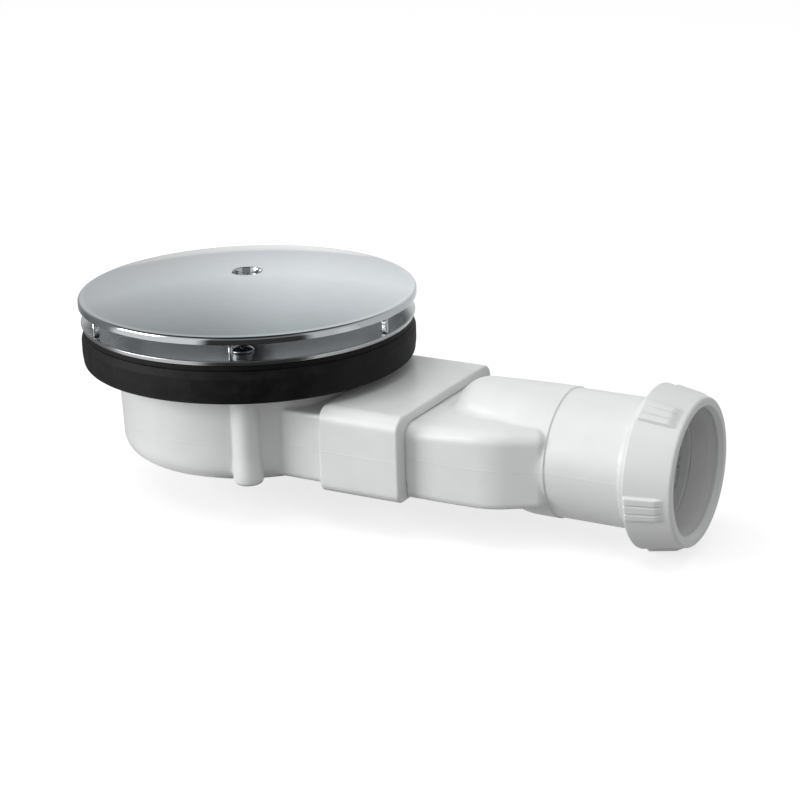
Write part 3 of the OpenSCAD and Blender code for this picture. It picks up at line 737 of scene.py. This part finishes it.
def moulded(name, field, lines, material):
    """Meshes the zero level of a field, with one point in each grid cell that it crosses."""
    y, z = np.meshgrid(lines[1], lines[2], indexing="ij")
    values = np.stack([field(np.full_like(y, x), y, z) for x in lines[0]])
    inside = values < 0
    cells = tuple(n - 1 for n in values.shape)
    total, hits = np.zeros((np.prod(cells), 3)), np.zeros(np.prod(cells))
    quads = []
    for axis in range(3):
        low, high = [slice(None)] * 3, [slice(None)] * 3
        low[axis], high[axis] = slice(None, -1), slice(1, None)
        edges = np.argwhere(inside[tuple(low)] != inside[tuple(high)])
        others = [k for k in range(3) if k != axis]
        limits = np.array(cells)[others]
        edges = edges[((edges[:, others] > 0) & (edges[:, others] < limits)).all(1)]
        first = values[tuple(edges.T)]
        step = np.zeros(3, int)
        step[axis] = 1
        second = values[tuple((edges + step).T)]
        share = first / (first - second)
        point = np.stack([lines[k][edges[:, k]] for k in range(3)], 1)
        point[:, axis] += share * (lines[axis][edges[:, axis] + 1] - lines[axis][edges[:, axis]])
        corners = []
        for back in ((0, 0), (1, 0), (1, 1), (0, 1)):
            cell = edges.copy()
            cell[:, others] -= back
            flat = np.ravel_multi_index(tuple(cell.T), cells)
            for k in range(3):
                total[:, k] += np.bincount(flat, point[:, k], len(total))
            hits += np.bincount(flat, minlength=len(total))
            corners.append(flat)
        corners = np.stack(corners, 1)
        flip = (first < 0) != (axis == 1)
        corners[~flip] = corners[~flip, ::-1]
        quads.append(corners)
    used = np.flatnonzero(hits)
    number = np.full(len(hits), -1)
    number[used] = np.arange(len(used))
    points = total[used] / hits[used, None]
    # Each point then steps on to the surface, down the slope of the field.
    nudge = 0.02
    for _ in range(3):
        here = field(*points.T)
        slope = np.stack([(field(*(points + d).T) - field(*(points - d).T)) / (2 * nudge)
                          for d in np.eye(3) * nudge], 1)
        size = np.maximum((slope ** 2).sum(1), 0.3)
        points -= slope * np.clip(here / size, -0.25, 0.25)[:, None]
    piece = mesh_piece(name, points, number[np.concatenate(quads)].tolist(), material)
    if signed_volume(piece.data) < 0:
        piece.data.flip_normals()
    return piece


print("2 mm in steps of 0.5 mm takes", len(grid_lines((0, 2, 0.5))), "grid lines")

# %% [markdown]
# ## The pot
#
# One moulding: a bowl whose wall leans in to a rounded foot, a rim that the gasket grips, three
# bosses for the screws, the flat duct and the thick collar that the outlet plugs into.

# %% Sizes of the pot
pot_low, pot_high = box["pot"]
rim_z, collar_face = pot_high[2], pot_high[0]
wall, duct_half_h = 2.4, 11.85
pot_foot = axis_z - duct_half_h - 2.0
boss_foot = pot_foot + 1.1
pot_r, pot_draft, pot_foot_round = 45.5, 1.0, 7.0
lean = pot_draft / (gasket_foot - pot_foot)
boss_r, boss_foot_r, boss_flare = 4.3, 5.0, 9.0
duct_half_w = 32.3
collar_half_w, collar_foot, collar_top = 33.4, 14.35, 14.75
collar_back, socket_x = 46.5, 50.0
spigot_half_w, spigot_half_h, spigot_round = 27.9, 11.25, 4.5
groove_x, groove_w, groove_t = 58.0, 4.0, 1.4
screws_at = [(screw_circle_r * math.cos(t), screw_circle_r * math.sin(t))
             for t in (math.radians(first_screw + 120 * k) for k in range(3))]
duct_back, inner_round = 27, 2
print("pot: foot at", round(pot_foot, 2), "mm, bosses at", round(boss_foot, 2), "mm")


# %% The pot's form
def spigot_box(across, up, grow, rounding):
    """The outline of the outlet's spigot, grown on all sides."""
    return round_box(across, up, spigot_half_w + grow, spigot_half_h + grow,
                     spigot_half_h + grow, rounding, rounding)


def pot_form(x, y, z):
    """The bowl, duct, collar and rim, less the waterway and the socket, with the bosses."""
    up = z - axis_z
    out = np.hypot(x, y)
    leaning = np.minimum(pot_r - pot_draft + (z - pot_foot) * lean, pot_r)
    side = (out - leaning) / math.hypot(1, lean)
    bowl = common(side, pot_foot - z, pot_foot_round)
    rim = common(out - (rim_r - 0.05), reach(z, rim_foot_z, rim_z), 0.3)
    duct = common(round_box(y, up, duct_half_w, duct_half_h, duct_half_h, 2.0, 1.1),
                  reach(x, duct_back, collar_back + 1))
    collar = common(round_box(y, up, collar_half_w, collar_foot, collar_top, 3.3, 5.0),
                    reach(x, collar_back, collar_face), 0.7)
    form = join(join(bowl, duct, 0.5), collar, 0.6)
    form = join(common(form, z - rim_z, 0.3), rim, 0.6)
    hollow = common(side + wall, pot_foot + wall - z, pot_foot_round - wall)
    passage = common(round_box(y, up, duct_half_w - wall, duct_half_h - wall, duct_half_h - wall,
                               inner_round, inner_round), reach(x, duct_back, collar_back))
    step = common(spigot_box(y, up, -wall, inner_round), reach(x, collar_back - 1, socket_x + 1))
    gap = np.interp(x, [collar_face - 2.5, collar_face - 2], [0.3, 0.1])
    socket = common(spigot_box(y, up, gap, 4.8), socket_x - x)
    groove = common(spigot_box(y, up, 0.3 + groove_t, 6.2),
                    reach(x, groove_x, groove_x + groove_w))
    form = less(form, hollow, 0.4)
    form = less(less(form, join(passage, step)), join(socket, groove), 0.4)
    for sx, sy in screws_at:
        near = np.hypot(x - sx, y - sy)
        flare = boss_r + (boss_foot_r - boss_r) * np.clip(
            (boss_foot + boss_flare - z) / (boss_flare * 0.67), 0, 1)
        boss = common(common(near - flare, boss_foot - z, 1.5), z - rim_z, 0.3)
        form = join(form, boss, 1.0)
        insert = common(near - 3.6, z - (boss_foot + 8.2))
        form = less(form, join(near - 2.8, insert), 0.2)
    return form


# %% Mesh the pot
pot_lines = (
    grid_lines((-54.2, -50, 1.2), (-50, -40.6, 0.45), (-40.6, 17.5, 1.4), (17.5, 28, 0.45),
               (28, 45, 0.9), (45, 51, 0.5), (51, 74, 1.3), (74, 76.6, 0.4)),
    grid_lines((-54.2, -44.3, 1.1), (-44.3, -31, 0.45), (-31, -25, 0.8), (-25, -5, 1.4),
               (-5, 5, 0.45), (5, 25, 1.4), (25, 31, 0.8), (31, 44.3, 0.45), (44.3, 54.2, 1.1)),
    grid_lines((pot_low[2] - 0.6, -40, 0.5), (-40, -22, 1.2), (-22, -15, 0.5), (-15, -11, 0.9),
               (-11, rim_z + 0.6, 0.45)))
pot = moulded("pot_moulding", pot_form, pot_lines, white)
stand_for(pot, "white_plastic", "pot")

# %% [markdown]
# ## The outlet
#
# The flat body plugs into the collar and tapers at its end. A round nose swells out of its top
# and carries the waterway into the tube, which ends in a ring and the mouth under the nut.

# %% Sizes of the outlet
body_foot, body_top_start, body_top = 13.75, 11.25, 12.95
taper_x, body_end, climb_end, foot_rise = 105.6, 121.2, 108.0, 1.3
taper, body_round, body_foot_round = math.radians(25), 4.5, 2.4
neck_r, nose_r, nose_x, neck_x = 21.5, 12.0, 93.0, 114.0
seam_x, tube_r, ring_x, ring_r = 121.4, 21.1, 147.0, 22.1
thread_r, nut_x, pipe_socket_r, pipe_stop, waterway_r = 22.7, 150.0, 20.3, 148.0, 18.7
mouth_x = box["outlet_body"][1][0]
seat_x = mouth_x - 4.55
print("outlet: body", 2 * spigot_half_w, "mm wide, tube", 2 * tube_r, "mm")


# %% The outlet's form
def ball_cone(x, y, up, start, end, start_r, end_r):
    """Distance to a ball at (x, up) start and a larger one at the end, with a skin round both."""
    axis = np.subtract(end, start)
    length = math.hypot(*axis)
    axis = axis / length
    along = (x - start[0]) * axis[0] + (up - start[1]) * axis[1]
    out = np.sqrt(np.maximum((x - start[0]) ** 2 + (up - start[1]) ** 2 + y ** 2 - along ** 2, 0))
    slant = (start_r - end_r) / length
    flat = math.sqrt(1 - slant ** 2)
    at = along * flat - out * slant
    return np.where(at < 0, np.hypot(along, out) - start_r,
                    np.where(at > length * flat, np.hypot(along - length, out) - end_r,
                             along * slant + out * flat - start_r))


def body_solid(x, y, up, inset=0.0):
    """The flat body and the nose, moved in by an inset."""
    side = np.abs(y) - spigot_half_w
    flanks = eased(side, side * math.cos(taper) + (x - taper_x) * math.sin(taper), 2.4)
    share = np.clip((x - collar_face) / (climb_end - collar_face), 0, 1)
    top = up - body_top_start - (body_top - body_top_start) * share ** 2 * (3 - 2 * share)
    foot = -up - body_foot + foot_rise * np.clip((x - 88) / (body_end - 88), 0, 1) ** 2
    body = common(common(common(flanks, x - body_end, 2.0), top, body_round), foot,
                  body_foot_round)
    swell = ball_cone(x, y, up, (nose_x, neck_r - nose_r), (neck_x, 0), nose_r, neck_r)
    neck = common(np.hypot(y, up) - neck_r, neck_x - x)
    nose = common(join(swell, neck), x - seam_x, 0.25)
    return inset - eased(-body, -nose, np.interp(x, [84, 94, 110], [3.0, 1.8, 0.7]))


def outlet_form(x, y, z):
    """The spigot, body, nose, tube, ring and mouth, less the waterway, pipe socket and seat."""
    up = z - axis_z
    out = np.hypot(y, up)
    spigot = common(spigot_box(y, up, 0, spigot_round), reach(x, 50.3, collar_face + 4), 0.4)
    body = common(body_solid(x, y, up), collar_face - x, 0.3)
    tube = common(out - tube_r, reach(x, neck_x + 1, nut_x + 0.4))
    ring = common(out - ring_r, reach(x, ring_x, ring_x + 2.5), 0.3)
    mouth = common(out - thread_r, reach(x, nut_x + 0.4, mouth_x), 0.3)
    form = join(join(join(join(spigot, body), tube), ring, 0.3), mouth)
    bore = common(spigot_box(y, up, -wall, inner_round), reach(x, 40, collar_face + 3))
    hollow = common(body_solid(x, y, up, wall), collar_face + wall - x)
    water = common(out - waterway_r, neck_x - x)
    socket = common(out - pipe_socket_r, pipe_stop - x)
    seat = common(out - np.interp(x, [seat_x, mouth_x], [20.75, 21.65]), seat_x - x)
    return less(form, join(join(join(bore, hollow, 0.5), water, 0.5), join(socket, seat)), 0.2)


# %% Mesh the outlet
outlet_lines = (
    grid_lines((49.5, 51.5, 0.4), (51.5, 75, 1.2), (75, 77, 0.4), (77, 90, 0.75),
               (90, 120.4, 0.6), (120.4, 122.4, 0.2), (122.4, 146.4, 1.2), (146.4, 151, 0.3),
               (151, 153.5, 0.8), (153.5, mouth_x + 0.7, 0.5)),
    grid_lines((-28.8, 28.8, 0.65)), grid_lines((axis_z - 23.6, axis_z + 23.6, 0.65)))
outlet = moulded("outlet_moulding", outlet_form, outlet_lines, white)
stand_for(outlet, "white_plastic", "outlet_body")

# %% [markdown]
# ## The hand nut
#
# Five lugs of three ridges stand round a tapered ring. The outline is turned like the others,
# and each point of its outside carries a share of the lug, so that the lugs fade in softly at
# both ends, as they do in a mould.

# %% The nut's outline
nut_front, nut_back = box["nut"][1][0], box["nut"][0][0]
nut_bore_r, nut_back_r, nut_front_r, nut_wall_t = 22.75, 26.65, 23.85, 2.8
outside = softened([
    (nut_bore_r, nut_back, 0.2), (nut_back_r, nut_back, 0.5), (nut_front_r, nut_front, 1.0),
    (pipe_socket_r + 1, nut_front, 0.25), (pipe_socket_r, nut_front - 1.6, 0.3),
    (pipe_socket_r, nut_front - nut_wall_t, 0.1), (nut_bore_r, nut_front - nut_wall_t, 0)],
    steps=5)
nut_outline, nut_raised = [], []
for here, after in zip(outside, outside[1:] + outside[:1]):
    long_side = after[1] - here[1] > 8 and here[0] > nut_front_r - 1
    for share in (np.linspace(0, 1, 44, endpoint=False) if long_side else [0]):
        point = here + (after - here) * share
        nut_outline.append(point)
        nut_raised.append(0.0)
        if long_side:
            into = np.clip(min((point[1] - nut_back - 0.5) / 0.8,
                               (nut_front - 1.6 - point[1]) / 3.5), 0, 1)
            nut_raised[-1] = float(into ** 2 * (3 - 2 * into))
# %% Turn the nut
lugs = {"Lugs": 5.0, "Lug Height": 1.0 * MM, "Lug Angle": math.radians(19),
        "First Lug": math.radians(47.5), "Groove At": math.radians(3.2),
        "Groove Width": math.radians(0.75)}
nut = turned("hand_nut", nut_outline, nut_white, around=900, place_by=to_outlet,
             raised=nut_raised, **lugs)
stand_for(nut, "nut_plastic", "nut")

# %% [markdown]
# ## Seals
#
# Hidden in their grooves: a round ring in the throat, a flat ring round the spigot and the
# tapered ring of soft plastic that grips the waste pipe.

# %% Seals
ring_low, ring_high = box["dip_tube_seal"]
ring_half = (ring_high[2] - ring_low[2]) / 2
ring_middle = (ring_high[0] - ring_half, (ring_high[2] + ring_low[2]) / 2)
seal_outline = [(ring_middle[0] + ring_half * math.cos(t), ring_middle[1] + ring_half
                 * math.sin(t)) for t in np.linspace(0, 2 * math.pi, 24, endpoint=False)]
throat_seal = turned("throat_seal", seal_outline, seal_rubber, around=144)
stand_for(throat_seal, "seal_rubber", "dip_tube_seal")

cone_low, cone_high = box["cone_seal"]
cone_outline = softened([
    (pipe_socket_r, cone_low[0], 0.1), (pipe_socket_r + 0.4, cone_low[0], 0.1),
    (pipe_socket_r + 1.3, cone_low[0] + 4.5, 0), (cone_high[1], cone_low[0] + 4.5, 0.2),
    (cone_high[1], cone_high[0], 0.3), (pipe_socket_r, cone_high[0], 0.3)], steps=4)
cone = turned("pipe_seal", cone_outline, inner_white, around=144, place_by=to_outlet)
stand_for(cone, "inner_plastic", "cone_seal")

# %% The rectangular seal
flat_low, flat_high = box["spigot_seal"]


def spigot_seal_form(x, y, z):
    up = z - axis_z
    half_w, half_h = flat_high[1], (flat_high[2] - flat_low[2]) / 2
    outer = round_box(y, up, half_w, half_h, half_h, 6.15, 6.15)
    form = less(outer, spigot_box(y, up, 0.05, 4.55), 0.4)
    return common(form, reach(x, flat_low[0], flat_high[0]), 0.5)


spigot_seal = moulded("spigot_seal_ring", spigot_seal_form, (
    grid_lines((flat_low[0] - 0.6, flat_high[0] + 0.6, 0.35)),
    grid_lines((-flat_high[1] - 0.6, flat_high[1] + 0.6, 0.4)),
    grid_lines((flat_low[2] - 0.6, flat_high[2] + 0.6, 0.4))), seal_rubber)
stand_for(spigot_seal, "seal_rubber", "spigot_seal")

# %% [markdown]
# ## Floor and light
#
# A pale floor and two soft lamps, one in front on the left and one above, as in a catalogue
# picture. The camera sees white all round, the metal mirrors a grey room that is dark where the
# camera stands, and the fill light on the drain stays at a plain level.

# %% Floor
floor_z = cad_box[0][2]
floor_mesh = bpy.data.meshes.new("floor")
floor_mesh.from_pydata([(-6, -6, floor_z), (6, -6, floor_z), (6, 6, floor_z), (-6, 6, floor_z)],
                       [], [(0, 1, 2, 3)])
floor = bpy.data.objects.new("floor", floor_mesh)
bpy.context.collection.objects.link(floor)
front = Vector((math.sin(azimuth), -math.cos(azimuth), 0))


def room_round(wire, vector):
    """How bright the room is in each direction round the drain, as metal mirrors it: dark where
    the camera stands, bright where the lamps are, grey on the far side."""
    sides = [wire.node("ShaderNodeVectorMath", {"operation": "DOT_PRODUCT"}, out=1,
                       inputs={0: vector, 1: way}) for way in (level, front)]
    turn = wire.maths("ARCTAN2", *sides) / (2 * math.pi) + 0.5
    return wire.node("ShaderNodeValToRGB", {"stops": [(at, (value,) * 3) for at, value in (
        (0.0, 1.17), (0.01, 1.07), (0.022, 0.88), (0.045, 0.68), (0.09, 0.45), (0.15, 0.2),
        (0.24, 0.3), (0.26, 1.1), (0.42, 1.1), (0.44, 0.05), (0.60, 0.05), (0.62, 0.8),
        (0.82, 0.75), (0.93, 0.95), (0.975, 1.14), (1.0, 1.17))]}, inputs={0: turn})


material, wire = start_finish("floor_white")
rays = wire.node("ShaderNodeLightPath").socket.node.outputs
paper = wire.node("ShaderNodeBsdfDiffuse", inputs={"Color": (0.33, 0.33, 0.33, 1)})
glow = wire.node("ShaderNodeEmission", inputs={"Color": (1, 1, 1, 1), "Strength": 0.74})
pale = wire.node("ShaderNodeBsdfDiffuse", inputs={"Color": (0.34, 0.34, 0.34, 1)})
seen = wire.node("ShaderNodeAddShader", inputs={0: glow, 1: pale})
mirrored = wire.node("ShaderNodeEmission", inputs={
    "Color": (0.84, 0.84, 0.84, 1), "Strength": room_round(wire, place(wire))})
floor_look = wire.node("ShaderNodeMixShader", inputs={
    0: Wire(wire.tree, rays["Is Camera Ray"]), 1: paper, 2: seen})
end_finish(material, wire, wire.node("ShaderNodeMixShader", inputs={
    0: Wire(wire.tree, rays["Is Glossy Ray"]), 1: floor_look, 2: mirrored}))
floor_mesh.materials.append(material)
print("floor at", round(floor_z / MM, 1), "mm")

# %% World
world = bpy.data.worlds.new("room")
bpy.context.scene.world = world
world.use_nodes = True
world.node_tree.nodes.clear()
sky = Wire(world.node_tree)
rays = sky.node("ShaderNodeLightPath").socket.node.outputs
bounced = sky.maths("MAXIMUM", Wire(sky.tree, rays["Is Glossy Ray"]),
                    Wire(sky.tree, rays["Is Transmission Ray"]))
direction = sky.node("ShaderNodeTexCoord", out="Generated")
height = sky.node("ShaderNodeSeparateXYZ", out=2, inputs={0: direction})
room = sky.node("ShaderNodeValToRGB", {"stops": [
    (0.0, (0.64, 0.65, 0.66)), (0.12, (0.75, 0.77, 0.78)), (0.30, (0.92, 0.94, 0.95)),
    (0.50, (0.73, 0.75, 0.76)), (0.68, (0.44, 0.47, 0.47)), (0.85, (0.1, 0.11, 0.12)),
    (1.0, (0.03, 0.03, 0.03))]}, inputs={0: height})
mirror = sky.node("ShaderNodeBackground", inputs={
    "Color": room, "Strength": sky.maths("MAXIMUM", room_round(sky, direction), 0.3)})
fill = sky.node("ShaderNodeBackground", inputs={"Color": (1, 1, 1, 1), "Strength": 0.6})
backdrop = sky.node("ShaderNodeBackground", inputs={"Color": (1, 1, 1, 1), "Strength": 1.0})
lit = sky.node("ShaderNodeMixShader", inputs={0: bounced, 1: fill, 2: mirror})
world_out = world.node_tree.nodes.new("ShaderNodeOutputWorld")
world.node_tree.links.new(sky.node("ShaderNodeMixShader", inputs={
    0: Wire(sky.tree, rays["Is Camera Ray"]), 1: lit, 2: backdrop}).socket,
    world_out.inputs["Surface"])
print("world:", len(world.node_tree.nodes), "nodes")


# %% Lamps
def softbox(name, at, towards, size, watts, mirrors=True):
    """A square lamp, which shows in the metal unless mirrors is False."""
    lamp = bpy.data.lights.new(name, "AREA")
    lamp.shape, lamp.size, lamp.size_y = "RECTANGLE", size[0], size[1]
    lamp.energy = watts
    holder = bpy.data.objects.new(name, lamp)
    holder.location = at
    holder.rotation_euler = (Vector(towards) - Vector(at)).to_track_quat("-Z", "Y").to_euler()
    holder.visible_glossy = mirrors
    bpy.context.collection.objects.link(holder)


softbox("key", (-0.68, -0.70, 0.28), (0.0, 0, -0.02), (0.6, 0.5), 7.6)
softbox("top", (-0.1, -0.35, 1.15), (0.05, 0, -0.02), (0.9, 0.6), 6.0, mirrors=False)
print("lamps:", [lamp.name for lamp in bpy.data.lights])

# %% [markdown]
# ## Last lines
#
# The view transform is the plain one.

# %% Set the view transform
bpy.context.scene.view_settings.view_transform = "Standard"
